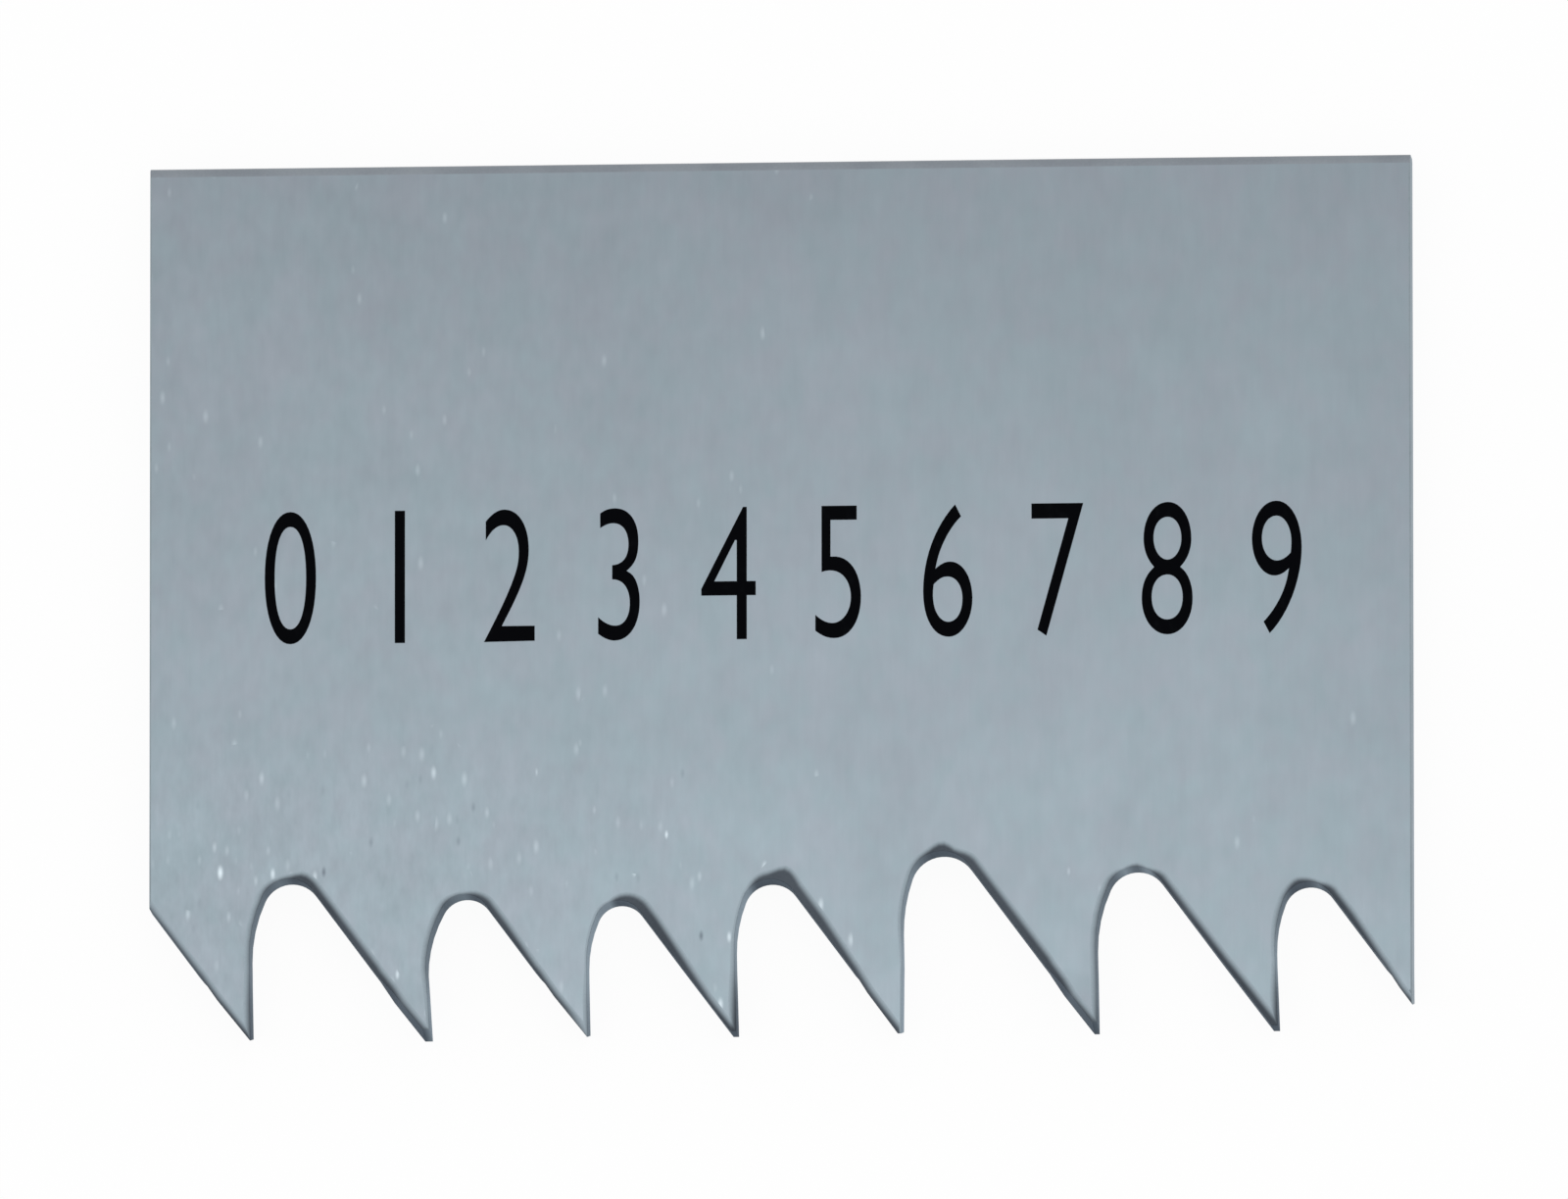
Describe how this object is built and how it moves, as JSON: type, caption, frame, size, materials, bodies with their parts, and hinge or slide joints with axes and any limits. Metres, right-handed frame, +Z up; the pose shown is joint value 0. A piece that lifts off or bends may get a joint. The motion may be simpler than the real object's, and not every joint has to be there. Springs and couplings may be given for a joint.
{
  "type": "band saw blade",
  "caption": "Short piece of toothed steel band saw blade: unevenly spaced hooked teeth, deep rounded gullets, teeth bent to both sides and a rounded back edge.",
  "frame": {"origin": "below the middle of the band's length and width, at the height of the lowest tooth tips", "axes": "+X along the band, the way the cutting faces look; +Y from the tips to the back edge; +Z up, through the thickness"},
  "size_m": [0.0274, 0.0191, 0.0013],
  "materials": {
    "band_steel": "satin"
  },
  "bodies": {
    "root": {"blade": "band_steel"}
  },
  "joints": []
}
